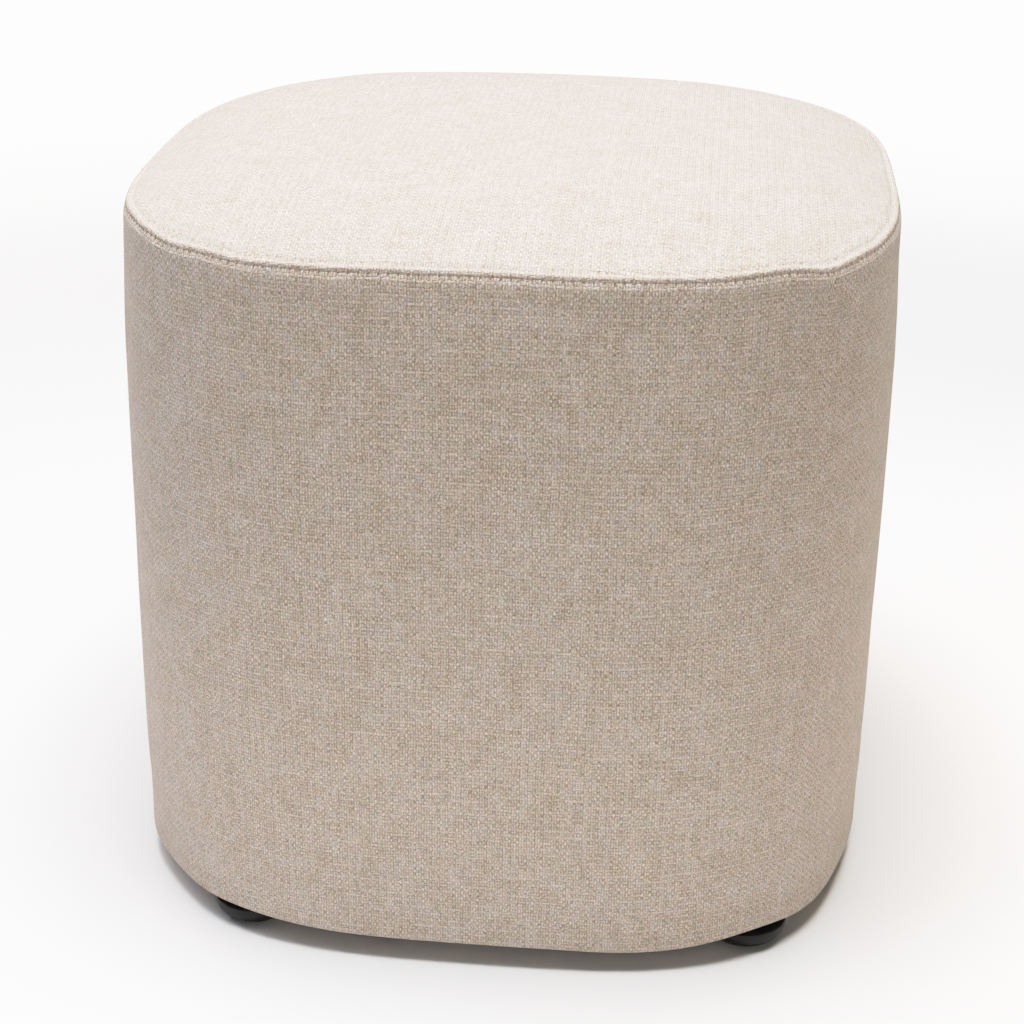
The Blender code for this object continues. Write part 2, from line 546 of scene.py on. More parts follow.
@dataclass(frozen=True)
class MouldedPlastic(Finish):
    """Black moulded plastic, satin, with fine grain and faint rubbing towards the foot."""

    colour: Colour = (0.0065, 0.0065, 0.007)
    rubbed: Colour = (0.022, 0.022, 0.023)
    roughness: float = 0.52
    reflection: float = 0.28
    rubbed_height: float = 2.2 * MM
    scuff_scale: float = 900.0
    scuff_edge: tuple[float, float] = (0.45, 0.7)
    scuff_roughness: float = 0.3
    grain_scale: float = 3500.0
    grain_roughness: float = 0.12
    relief: float = 0.02 * MM

    def paint(self, graph: Graph) -> None:
        """Build the plastic: fine grain everywhere, rubbed where the foot meets the floor.

        Args:
            graph: The material's tree.
        """
        place = graph.object_place()
        height = Value(graph, graph.node("ShaderNodeSeparateXYZ", inputs={0: place}).outputs[2])
        scuffs = graph.noise(place, self.scuff_scale, 3.0).step(*self.scuff_edge)
        worn = (1.0 - height.step(0.0, self.rubbed_height)) * scuffs
        grain = graph.noise(place, self.grain_scale, 2.0)
        smoothest = self.roughness - 0.5 * self.grain_roughness
        graph.surface(
            {
                "Base Color": graph.mix(worn, opaque(self.colour), opaque(self.rubbed)),
                "Roughness": worn * self.scuff_roughness + grain * self.grain_roughness + smoothest,
                "Specular IOR Level": self.reflection,
                "Normal": graph.bump(grain, self.relief),
            }
        )


@dataclass(frozen=True)
class SewingThread(Finish):
    """Twisted light brown sewing thread, darker than the cloth so that its stitches also stand in for the
    shade in the seam's needle pits: painted shade.
    """

    light: Colour = (0.40, 0.30, 0.22)
    dark: Colour = (0.25, 0.183, 0.132)
    twist_pitch: float = 0.5
    twist_slant: float = 1.4
    roughness: float = 0.75
    relief: float = 0.08 * MM

    def paint(self, graph: Graph) -> None:
        """Build the thread: plies that slant across it, at a pitch in millimetres, raised by bump and
        painted darker between them as painted shade.

        Args:
            graph: The material's tree.
        """
        along, around = graph.flat_map()
        # The thread is darker between its plies, where the twist would be in shade: painted shade.
        ply_height_and_shade = ((along / self.twist_pitch + around * self.twist_slant) * TURN).cosine() * 0.5 + 0.5
        graph.surface(
            {
                "Base Color": graph.mix(ply_height_and_shade, opaque(self.dark), opaque(self.light)),
                "Roughness": self.roughness,
                "Normal": graph.bump(ply_height_and_shade, self.relief),
            }
        )


@dataclass(frozen=True)
class PaleFloor(Finish):
    """Matt white studio floor that fades out into the backdrop, and is open from below."""

    colour: Colour = (0.88, 0.88, 0.88)
    fade_start: float = 0.8
    fade_end: float = 1.7
    roughness: float = 0.9

    def paint(self, graph: Graph) -> None:
        """Build the floor: opaque up to one distance from the middle, clear from another.

        Args:
            graph: The material's tree.
        """
        place = graph.object_place()
        length = graph.node("ShaderNodeVectorMath", {"operation": "LENGTH"}, {0: place})
        fade = Value(graph, length.outputs["Value"]).step(self.fade_start, self.fade_end)
        below = Value(graph, graph.node("ShaderNodeNewGeometry").outputs["Backfacing"])
        graph.surface(
            {
                "Base Color": opaque(self.colour),
                "Roughness": self.roughness,
                "Alpha": (1.0 - fade) * (1.0 - below),
            }
        )


SIDE_CLOTH = WovenCloth()
# The panel's cloth is the same weave, painted evener in tone and hue to stand in for the bright light
# from above washing out its texture: painted light.
LIGHT_FLATTENED_TOP_CLOTH = WovenCloth(
    red_drift=0.10, blue_drift=0.17, relief_shade_contrast=0.55, fibre_contrast=1.35, run_contrast=0.48
)


# ---------------------------------------------------------------------------------------------
# Shapes


def at_height(plan: Array, height: Array | float) -> Array:
    """Return a plan's points at a height, one for all or one for each."""
    return np.column_stack([plan, np.broadcast_to(height, len(plan))])


@dataclass(frozen=True)
class Ripple:
    """A low bell across the cloth: its height, and its middle and spread in one unit."""

    height: float
    middle: float
    spread: float

    def at(self, distance: Array | float) -> Array | float:
        """Return height * exp(-((distance - middle) / spread)^2)."""
        return self.height * np.exp(-(((distance - self.middle) / self.spread) ** 2))


@dataclass(frozen=True)
class Bell:
    """A bell-shaped wander round the stool: where it is, how wide, and how much it moves."""

    direction: float
    spread: float
    rise: float
    tuck: float = 0.0


def bells(direction: Array, rows: Sequence[Bell], name: str) -> Array:
    """Add up bells: the sum of value * exp(-((direction - centre) / spread)^2), in degrees.

    Args:
        direction: Directions from the middle, in radians.
        rows: The bells.
        name: Which of their values is summed.

    Returns:
        The sum at each direction.
    """
    centres = np.array([row.direction for row in rows])
    spreads = np.array([row.spread for row in rows])
    values = np.array([getattr(row, name) for row in rows])
    away = np.degrees(direction)[:, None] - centres
    away = (away + 180.0) % 360.0 - 180.0
    return (values * np.exp(-((away / spreads) ** 2))).sum(axis=1)


SEAM_WANDER = (
    Bell(-145.0, 7.0, 0.0018),
    Bell(-132.0, 3.5, -0.0010),
    Bell(-121.0, 5.0, -0.0015),
    Bell(-112.0, 6.0, -0.0010),
    Bell(-90.0, 14.0, 0.0006),
    Bell(-52.5, 4.5, 0.0015),
    Bell(-44.5, 4.0, -0.0024),
    Bell(-36.0, 5.0, -0.0006),
    Bell(22.0, 10.0, 0.0006),
    Bell(58.0, 20.0, 0.0014),
    Bell(96.0, 15.0, 0.0006),
    Bell(134.0, 6.0, -0.0012),
    Bell(171.0, 12.0, 0.0005),
)
HEM_WANDER = (
    Bell(-138.5, 8.0, 0.0, 0.0033),
    Bell(-125.0, 9.0, 0.0017),
    Bell(-68.0, 7.0, -0.0011),
    Bell(-50.0, 7.5, 0.0033),
    Bell(-30.0, 11.0, 0.0, 0.0030),
    Bell(52.0, 9.0, 0.0009, 0.0006),
    Bell(128.0, 9.0, 0.0006, 0.0008),
)


@dataclass(frozen=True)
class Outline:
    """The stool's plan, |x|^n + |y|^n = h^n, followed by its length from the middle of the back."""

    width: float
    exponent: float = 3.12
    table_steps: int = 24001

    def _points(self, direction: Array) -> Array:
        """Work out the plan's points: h / (|cos|^n + |sin|^n)^(1/n) from the middle.

        Args:
            direction: Directions from the middle, in radians.

        Returns:
            The point in each direction.
        """
        cos = np.cos(direction)
        sin = np.sin(direction)
        n = self.exponent
        reach = 0.5 * self.width / (np.abs(cos) ** n + np.abs(sin) ** n) ** (1.0 / n)
        return np.column_stack([reach * cos, reach * sin])

    def _table(self) -> tuple[Array, Array]:
        """Measure the plan's edge once round, anticlockwise from the back.

        Returns:
            Directions from the middle, and the edge's length up to each.
        """
        direction = np.linspace(0.25 * TURN, 1.25 * TURN, self.table_steps)
        steps = np.diff(self._points(direction), axis=0)
        length = np.concatenate([[0.0], np.cumsum(np.hypot(steps[:, 0], steps[:, 1]))])
        return direction, length

    def length(self) -> float:
        """Return the length of the plan's edge."""
        return float(self._table()[1][-1])

    def directions(self, share: Array) -> Array:
        """Return the direction from the middle at each share of the edge's length."""
        direction, length = self._table()
        return np.interp(share * length[-1], length, direction)

    def normals(self, share: Array) -> Array:
        """Work out the outward normals: the gradient of |x|^n + |y|^n, made one long.

        Args:
            share: Shares of the edge's length.

        Returns:
            The normal at each share.
        """
        points = self._points(self.directions(share))
        slope = np.sign(points) * np.abs(points) ** (self.exponent - 1.0)
        return slope / np.linalg.norm(slope, axis=1)[:, None]

    def ring(self, share: Array, inset: Array | float, height: Array | float) -> Array:
        """Return the edge moved inwards along its normals, at a height.

        Args:
            share: Shares of the edge's length.
            inset: How far inwards, for each share or for all.
            height: The height, for each share or for all.

        Returns:
            One point for each share.
        """
        points = self._points(self.directions(share))
        points = points - np.broadcast_to(inset, share.shape)[:, None] * self.normals(share)
        return at_height(points, height)


@dataclass
class SkinMesh:
    """A closed surface of rings, one over the other, with its cloth's flat map.

    Two rings of the same count are joined by quads. Where one has three times the points of the
    other, each of its coarse edges is joined to three fine ones by a face of six corners. An edge
    over the corner angle, in degrees, is shaded as a corner.
    """

    MAP = "flat"
    FINE = 3
    CORNER_ANGLE = 50.0

    rings: list[Array] = field(default_factory=list)
    maps: list[Array] = field(default_factory=list)

    def add(self, ring: Array, flat: Array) -> None:
        """Add the next ring up, and its flat map, which has one point more to close the round."""
        self.rings.append(ring)
        self.maps.append(flat)

    def _between(self, lower: int, upper: int) -> Array:
        """Join two rings.

        Args:
            lower: The number of the lower ring.
            upper: The number of the upper ring.

        Returns:
            The faces, as (ring, place in it) for each corner.
        """
        low_count = len(self.rings[lower])
        high_count = len(self.rings[upper])
        coarse = np.arange(min(low_count, high_count))
        fine = self.FINE * coarse
        if low_count == high_count:
            corners = [(lower, coarse), (lower, coarse + 1), (upper, coarse + 1), (upper, coarse)]
        elif low_count < high_count:
            corners = [(lower, coarse), (lower, coarse + 1)]
            corners += [(upper, fine + k) for k in range(self.FINE, -1, -1)]
        else:
            corners = [(lower, fine + k) for k in range(self.FINE + 1)]
            corners += [(upper, coarse + 1), (upper, coarse)]
        return np.stack([np.column_stack([np.full_like(at, r), at]) for r, at in corners], axis=1)

    def _cap(self, ring: int, top: bool) -> tuple[Array, Array, Array]:
        """Close a ring with triangles to its middle.

        Args:
            ring: The number of the ring.
            top: Whether the triangles face up.

        Returns:
            The middle point, its flat map, and each triangle's edge as (ring, place in it).
        """
        at = np.arange(len(self.rings[ring]))
        pair = [at, at + 1] if top else [at + 1, at]
        edge = np.stack([np.column_stack([np.full_like(p, ring), p]) for p in pair], axis=1)
        return self.rings[ring].mean(axis=0), self.maps[ring][:-1].mean(axis=0), edge

    def object(self, name: str, material: bpy.types.Material) -> bpy.types.Object:
        """Make the object.

        Args:
            name: Its name.
            material: Its material.

        Returns:
            The object, linked to the scene.
        """
        counts = np.array([len(ring) for ring in self.rings])
        starts = np.concatenate([[0], np.cumsum(counts)])
        map_starts = np.concatenate([[0], np.cumsum(counts + 1)])
        flat = np.concatenate(self.maps)
        polygons: list[list[int]] = []
        corner_maps: list[Array] = []
        for lower in range(len(self.rings) - 1):
            faces = self._between(lower, lower + 1)
            ring, at = faces[..., 0], faces[..., 1]
            polygons += (starts[ring] + at % counts[ring]).tolist()
            corner_maps.append(flat[map_starts[ring] + at].reshape(-1, 2))
        middles = []
        for ring_index, top in ((0, False), (len(self.rings) - 1, True)):
            middle, middle_map, edge = self._cap(ring_index, top)
            ring, at = edge[..., 0], edge[..., 1]
            tip = np.full((len(edge), 1), starts[-1] + len(middles))
            rim = starts[ring] + at % counts[ring]
            polygons += np.hstack([rim, tip]).tolist()
            spread = np.broadcast_to(middle_map, (len(edge), 1, 2))
            corner_map = np.concatenate([flat[map_starts[ring] + at], spread], axis=1)
            corner_maps.append(corner_map.reshape(-1, 2))
            middles.append(middle)
        points = np.concatenate([*self.rings, np.array(middles)])
        mesh = bpy.data.meshes.new(name)
        mesh.from_pydata(points.tolist(), [], polygons)
        layer = mesh.uv_layers.new(name=self.MAP)
        layer.data.foreach_set("uv", np.concatenate(corner_maps).astype(np.float32).ravel())
        mesh.shade_smooth()
        mesh.set_sharp_from_angle(angle=np.radians(self.CORNER_ANGLE))
        mesh.materials.append(material)
        made = bpy.data.objects.new(name, mesh)
        bpy.context.scene.collection.objects.link(made)
        return made


def closed(ring: Array) -> Array:
    """Return a ring's flat map with its first point again at the end."""
    return np.concatenate([ring, ring[:1]])


def report(piece: bpy.types.Object) -> None:
    """Log a finished piece's name and its number of triangles."""
    piece.data.calc_loop_triangles()
    LOG.info("%s: %d triangles", piece.name, len(piece.data.loop_triangles))


# ---------------------------------------------------------------------------------------------
# The cover


@dataclass(frozen=True)
class CoverSizes:
    """The cover's driving sizes. Those that the frame gives are read from it."""

    # The plan, and the heights of the hem and the top seam.
    outline: Outline
    hem: float
    seam: float = 0.3675
    # The turned-under hem, and how far up the side its wander reaches.
    hem_border: float = 0.018
    hem_rounding: float = 0.004
    hem_reach: float = 0.045
    recess: float = 0.0016
    # The side's fullness, and its roll into the seam.
    seam_inset: float = 0.0052
    fullness: float = 0.0039
    fullness_fade: float = 0.050
    band_roll: float = 0.0109
    band_roll_turn: float = 0.56
    # The top panel's lip over the seam, and what lies hidden inside the crease.
    lip_reach: float = 0.0019
    lip_height: float = 0.0027
    lip_fullness: float = 2.75
    lip_tuck: float = 0.00004
    lip_turn_height: float = 0.00012
    hidden_reach: float = 0.020
    hidden_gap: float = 0.0006
    # The crown, how the seam's wander fades over it, and the hair's gap between band and panel.
    crown: float = 0.0219
    crown_power: float = 3.84
    rise_fade: float = 6.0
    fit_gap: float = 0.00002
    # The stitches and how they pull the cloth in.
    stitches: int = 292
    stitch_spread: float = 0.85 * MM
    stitch_pull: float = 0.5 * MM
    stitch_rest: float = 0.65
    # The mesh's columns, and how much closer they stand by the closing seam.
    coarse: int = 560
    closer: Ripple = Ripple(0.8, 0.0, 6.0 * MM)

    def shares(self, fine: bool) -> Array:
        """Return the columns' shares of the edge: closer by the closing seam at the back.

        A column's step is 1 - 0.8 * exp(-(distance / 6 mm)^2) of the others', and a fine ring has
        two more columns in each step.

        Args:
            fine: Whether the ring is a fine one.

        Returns:
            The shares, from 0 to just under 1.
        """
        even = np.linspace(0.0, 1.0, self.coarse + 1)
        distance = np.minimum(even, 1.0 - even) * self.outline.length()
        steps = 1.0 - self.closer.at(distance[:-1])
        share = np.concatenate([[0.0], np.cumsum(steps) / steps.sum()])[:-1]
        if not fine:
            return share
        count = self.coarse * SkinMesh.FINE
        return np.interp(np.arange(count) / SkinMesh.FINE, np.arange(self.coarse + 1), [*share, 1.0])

    def seam_rise(self, share: Array) -> Array:
        """Return how far the sewn seam wanders up."""
        return bells(self.outline.directions(share), SEAM_WANDER, "rise")

    def stitch_pitch(self) -> float:
        """Return the distance between two stitches of the top seam."""
        return self.outline.length() / self.stitches

    def pinch(self, share: Array) -> Array:
        """Return 1 at each stitch of the top seam: exp(-(distance / 0.85 mm)^2)."""
        away = (share * self.stitches + 0.5) % 1.0 - 0.5
        return np.exp(-((away * self.stitch_pitch() / self.stitch_spread) ** 2))

    def pull(self, share: Array) -> Array:
        """Return how far a stitch pulls the cloth in: 0.5 mm * (pinch - 0.65), outwards between."""
        return self.stitch_pull * (self.pinch(share) - self.stitch_rest)


@dataclass(frozen=True)
class SideBand:
    """The filled side band: turned-under hem, side, roll into the top seam."""

    sizes: CoverSizes
    side_rows: int = 74
    hem_rows: int = 8
    fine_rows: int = 14
    roll_rows: int = 10
    fine_reach: float = 0.012
    border_edge: float = 0.4 * MM
    border_parts: tuple[float, ...] = (0.3, 0.6, 0.85)
    side_pinch: float = 0.12 * MM
    side_pinch_fade: float = 3.0 * MM
    roll_drop: float = 0.06 * MM
    swell: Ripple = Ripple(0.1 * MM, 5.0 * MM, 3.5 * MM)
    # The closing seam, in millimetres.
    closing_groove: Ripple = Ripple(1.1, 0.0, 0.7)
    closing_swell: Ripple = Ripple(0.3, 2.6, 1.6)
    node: str = "side_band"

    def _inset(self, depth: Array | float) -> Array | float:
        """Return the fullness: 3.9 mm * exp(-depth / 50 mm) inside the plan at a depth under the seam."""
        return self.sizes.fullness * np.exp(-np.asarray(depth) / self.sizes.fullness_fade)

    def _closing_seam(self, share: Array) -> Array:
        """Return the closing seam's groove at the back: 1.1 mm deep, with a soft swell each side."""
        away = np.minimum(share, 1.0 - share) * self.sizes.outline.length() / MM
        return (self.closing_groove.at(away) - self.closing_swell.at(away)) * MM

    def face(self, share: Array, depth: float) -> tuple[Array, Array]:
        """Work out the plain side, which swells a little under the seam.

        Near the hem the side follows the hem's wander, exp(-((height - hem) / 45 mm)^2) of it, and
        further up more and more of the seam's.

        Args:
            share: Shares of the plan's edge.
            depth: The depth under the seam.

        Returns:
            The inset from the plan and the height.
        """
        sizes = self.sizes
        direction = sizes.outline.directions(share)
        height = sizes.seam - depth
        by_hem = np.exp(-(((height - sizes.hem) / sizes.hem_reach) ** 2))
        by_seam = 1.0 - depth / (sizes.seam - sizes.hem)
        rise = by_hem * bells(direction, HEM_WANDER, "rise") + by_seam * sizes.seam_rise(share)
        inset = self._inset(depth) + by_hem * bells(direction, HEM_WANDER, "tuck")
        return inset - self.swell.at(depth), height + rise

    def _side(self, share: Array, depth: float) -> tuple[Array, Array]:
        """Work out the side with its stitches' pull and its closing seam.

        Args:
            share: Shares of the plan's edge.
            depth: The depth under the seam.

        Returns:
            The inset from the plan and the height.
        """
        inset, height = self.face(share, depth)
        pinch = self.side_pinch * self.sizes.pinch(share) * np.exp(-depth / self.side_pinch_fade)
        return inset + pinch + self._closing_seam(share), height

    def rings(self) -> list[tuple[bool, Array, Array]]:
        """Work out the band's rings, from its hidden underside up.

        The hem is a quarter round: inset R * (1 - sin t), height R * (1 - cos t). The roll into the
        seam is an arc of 0.56 radians: inset R * (1 - cos t), height R * sin t. The stitches pull
        it in, more and more towards the seam, as the square of the way along the arc.

        Returns:
            For each ring, whether it is a fine one, its inset and its height.
        """
        sizes = self.sizes
        share = sizes.shares(fine=False)
        direction = sizes.outline.directions(share)
        rise = bells(direction, HEM_WANDER, "rise")
        tuck = bells(direction, HEM_WANDER, "tuck")
        flat = np.zeros_like(share)
        found = [
            (False, flat + sizes.hem_border, flat + sizes.hem + sizes.recess),
            (False, flat + sizes.hem_border, flat + sizes.hem + self.border_edge),
            (False, flat + sizes.hem_border - self.border_edge, flat + sizes.hem),
        ]
        for part in self.border_parts:
            inset = sizes.hem_border + (sizes.hem_rounding + tuck - sizes.hem_border) * part
            found.append((False, inset, sizes.hem + rise * part))
        for turn in np.linspace(0.0, 0.25 * TURN, self.hem_rows):
            inset = sizes.hem_rounding * (1.0 - np.sin(turn)) + tuck + self._closing_seam(share)
            height = sizes.hem + sizes.hem_rounding * (1.0 - np.cos(turn)) + rise
            found.append((False, inset, height))
        deepest = sizes.seam - sizes.hem - sizes.hem_rounding
        for depth in np.linspace(deepest, self.fine_reach, self.side_rows)[1:]:
            found.append((False, *self._side(share, depth)))

        share = sizes.shares(fine=True)
        roll_height = sizes.band_roll * np.sin(sizes.band_roll_turn) + sizes.fit_gap
        for depth in np.linspace(self.fine_reach, roll_height, self.fine_rows)[1:]:
            found.append((True, *self._side(share, depth)))
        start, base = found[-1][1], sizes.seam - roll_height
        pull, drop = sizes.pull(share), self.roll_drop * sizes.pinch(share)
        for turn in np.linspace(0.0, sizes.band_roll_turn, self.roll_rows)[1:]:
            closing = (turn / sizes.band_roll_turn) ** 2
            inset = start + sizes.band_roll * (1.0 - np.cos(turn)) + pull * closing
            height = base + sizes.band_roll * np.sin(turn) - drop * closing
            found.append((True, inset, height + sizes.seam_rise(share)))
        inner = np.zeros_like(share) + sizes.seam_inset + sizes.hidden_reach
        found.append((True, inner, np.zeros_like(share) + sizes.seam - sizes.hidden_gap))
        return found

    def build(self, material: bpy.types.Material, settled: "SettledCover") -> bpy.types.Object:
        """Build the band with the settled cloth's shape, its flat map running round and up.

        Args:
            material: The cloth.
            settled: The simulated cover.

        Returns:
            The piece.
        """
        sizes = self.sizes
        skin = SkinMesh()
        run = 0.0
        last: tuple[float, float] | None = None
        for fine, inset, height in self.rings():
            share = sizes.shares(fine)
            ring = sizes.outline.ring(share, inset, height)
            ring = ring + settled.band_shift(share, sizes.seam - height)
            here = (float(inset.mean()), float(height.mean()))
            run += 0.0 if last is None else float(np.hypot(here[0] - last[0], here[1] - last[1]))
            last = here
            around = np.concatenate([share, [1.0]]) * sizes.outline.length()
            skin.add(ring, np.column_stack([around, np.full_like(around, run)]))
        piece = skin.object("cover_side_band", material)
        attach(piece, "root")
        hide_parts(self.node)
        report(piece)
        return piece


@dataclass(frozen=True)
class TopPanel:
    """The filled top panel: a lip that stands up out of the seam, a trough behind it, the crown."""

    sizes: CoverSizes
    fine_reach: float = 0.014
    turn_rows: int = 4
    lip_rows: int = 13
    fine_rows: int = 18
    crown_rows: int = 58
    innermost: float = 0.985
    lip_start: float = -0.22
    lip_lift: float = 0.05 * MM
    lip_dip: float = 0.15 * MM
    # What lies behind the lip, in millimetres.
    trough: Ripple = Ripple(-0.9, 1.3, 0.8)
    ridge: Ripple = Ripple(0.20, 5.0, 2.2)
    node: str = "top_panel"

    def _lip(self, share: Array) -> list[tuple[Array, Array]]:
        """Work out the lip's rings: a small round out of the crease, then a larger, squarer one.

        The larger one is a quarter of |x|^2.75 + |y|^2.75 = 1, 1.9 mm deep and about 2.6 mm high.
        The stitches pull its face in, by cos(t)^2 of their pull, and lower its top a little.

        Args:
            share: Shares of the plan's edge.

        Returns:
            The inset and the height of each ring, from the crease up.
        """
        sizes = self.sizes
        base = sizes.seam + sizes.seam_rise(share) + sizes.fit_gap
        pinch, pull = sizes.pinch(share), sizes.pull(share)
        lift = self.lip_lift * pinch
        square = 2.0 / sizes.lip_fullness
        rings = []
        for turn in np.linspace(self.lip_start * TURN, 0.0, self.turn_rows):
            inset = sizes.seam_inset + sizes.lip_tuck * (1.0 - np.cos(turn)) + pull
            rings.append((inset, base + sizes.lip_turn_height * (1.0 + np.sin(turn)) + lift))
        rise = sizes.lip_height - sizes.lip_turn_height
        for turn in np.linspace(0.0, 0.25 * TURN, self.lip_rows)[1:]:
            fading = np.cos(turn) ** 2
            inward, upward = np.cos(turn) ** square, np.sin(turn) ** square
            inset = sizes.seam_inset + sizes.lip_reach * (1.0 - inward) + pull * fading
            dip = self.lip_dip * pinch * np.sin(turn)
            height = base + sizes.lip_turn_height + rise * upward + lift * fading - dip
            rings.append((inset, height))
        return rings

    def crown(self, share: Array, inward: float) -> Array:
        """Work out the crown: C * (1 - (1 - s)^3.84), with a trough and a low ridge at the seam.

        Args:
            share: Shares of the plan's edge.
            inward: How far in the ring is, from 0 at the lip to 1 in the middle.

        Returns:
            The height at each share.
        """
        sizes = self.sizes
        rise = sizes.crown * (1.0 - (1.0 - inward) ** sizes.crown_power)
        reach = 0.5 * sizes.outline.width * inward / MM
        wander = sizes.seam_rise(share) * (1.0 - inward) ** sizes.rise_fade
        start = sizes.seam + sizes.lip_height + sizes.fit_gap
        return start + rise + (self.trough.at(reach) + self.ridge.at(reach)) * MM + wander

    def build(self, material: bpy.types.Material, settled: "SettledCover") -> bpy.types.Object:
        """Build the panel with the settled cloth's shape, its flat map straight across.

        Args:
            material: The cloth.
            settled: The simulated cover.

        Returns:
            The piece.
        """
        sizes = self.sizes
        skin = SkinMesh()
        share = sizes.shares(fine=True)
        lip = self._lip(share)
        edge = sizes.outline.ring(share, lip[-1][0], 0.0)[:, :2]
        normals = sizes.outline.normals(share)
        heights = np.array([height.mean() for _, height in lip])
        insets = np.array([inset.mean() for inset, _ in lip])
        runs = np.hypot(np.diff(insets), np.diff(heights))
        beyond = np.concatenate([np.cumsum(runs[::-1])[::-1], [0.0]])
        inner = sizes.seam_inset + sizes.hidden_reach
        hidden = sizes.outline.ring(share, inner, sizes.seam + sizes.hidden_gap)
        skin.add(hidden, closed(edge + normals * (beyond[0] + sizes.hidden_reach)))
        for (inset, height), out in zip(lip, beyond):
            ring = sizes.outline.ring(share, inset, height)
            skin.add(ring, closed(edge + normals * out))
        fine_share = self.fine_reach / (0.5 * sizes.outline.width)
        fine_rings = np.linspace(0.0, fine_share, self.fine_rows)[1:]
        coarse_rings = np.linspace(fine_share, self.innermost, self.crown_rows)[1:]
        parts = (
            (share, edge, fine_rings),
            (sizes.shares(fine=False), edge[:: SkinMesh.FINE], coarse_rings),
        )
        for columns, rim, rings in parts:
            for inward in rings:
                plan = rim * (1.0 - inward)
                ring = at_height(plan, self.crown(columns, inward))
                skin.add(ring + settled.crown_shift(columns, inward), closed(plan))
        piece = skin.object("cover_top_panel", material)
        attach(piece, "root")
        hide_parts(self.node)
        report(piece)
        return piece


